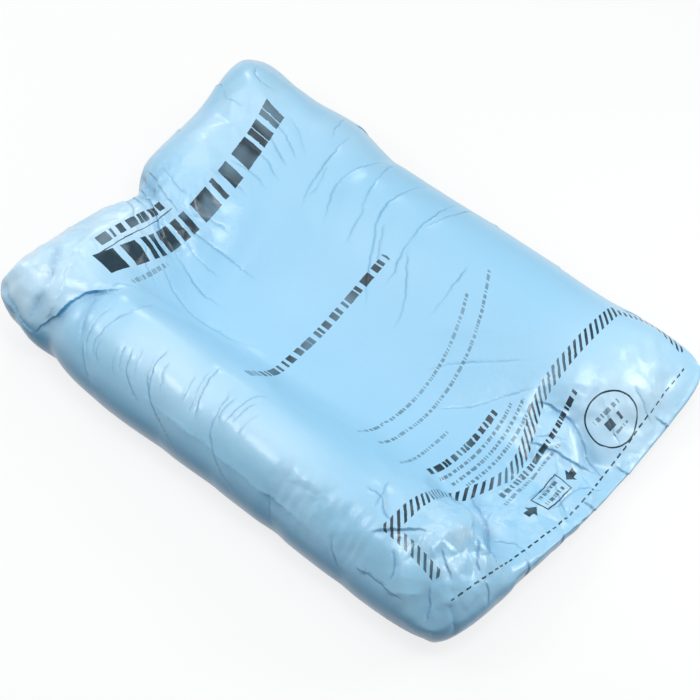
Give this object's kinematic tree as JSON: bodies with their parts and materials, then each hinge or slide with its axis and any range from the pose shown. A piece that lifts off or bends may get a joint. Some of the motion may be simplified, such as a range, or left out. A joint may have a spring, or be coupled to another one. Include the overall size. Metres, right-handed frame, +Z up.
{
  "type": "expanded foam packaging bag",
  "caption": "Sealed film bag swollen by set foam and moulded into a cradle, with rolled rims round a shallow dish that cushions a packed article.",
  "frame": {"origin": "on the floor, under the middle of the bag's bounding box", "axes": "+X along the bag towards the printed sealed end, +Y towards the long side with the broad rim, +Z up out of the dish"},
  "size_m": [0.5792, 0.403, 0.1064],
  "materials": {
    "film": "satin pale blue polyethylene film with dark blue print"
  },
  "bodies": {
    "root": {"foam_bag": "film"}
  },
  "joints": []
}
